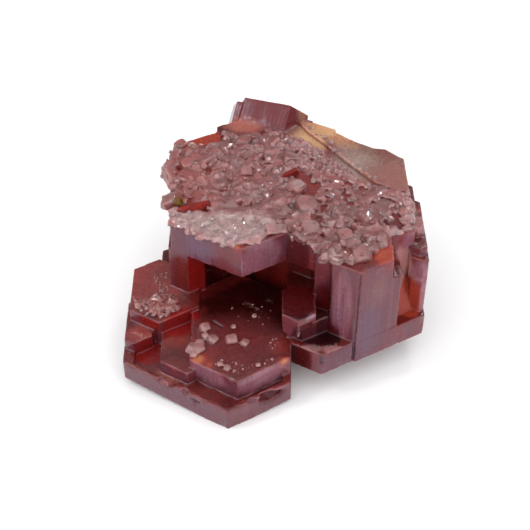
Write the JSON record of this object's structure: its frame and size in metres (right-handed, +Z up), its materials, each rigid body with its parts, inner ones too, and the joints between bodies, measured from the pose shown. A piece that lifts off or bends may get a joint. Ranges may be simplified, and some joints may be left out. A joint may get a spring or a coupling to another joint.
{
  "type": "vanadinite crystal specimen",
  "caption": "Mineral specimen: a cluster of flat six-sided deep red crystals with an overhanging plate, a stepped base and a pale druse on top.",
  "frame": {"origin": "middle of the footprint, on the surface that the specimen rests on", "axes": "+Z up along the crystals' long axes; -Y towards the low stepped plates at the front; +X to the right seen from the front"},
  "size_m": [0.0296, 0.0352, 0.0166],
  "materials": {
    "vanadinite": "glossy deep red crystal faces, resinous lustre",
    "druse": "glassy pale pink grains"
  },
  "bodies": {
    "root": {"vanadinite_cluster": "vanadinite", "top_druse": "druse", "side_druse": "druse", "front_druse": "druse"}
  },
  "joints": []
}
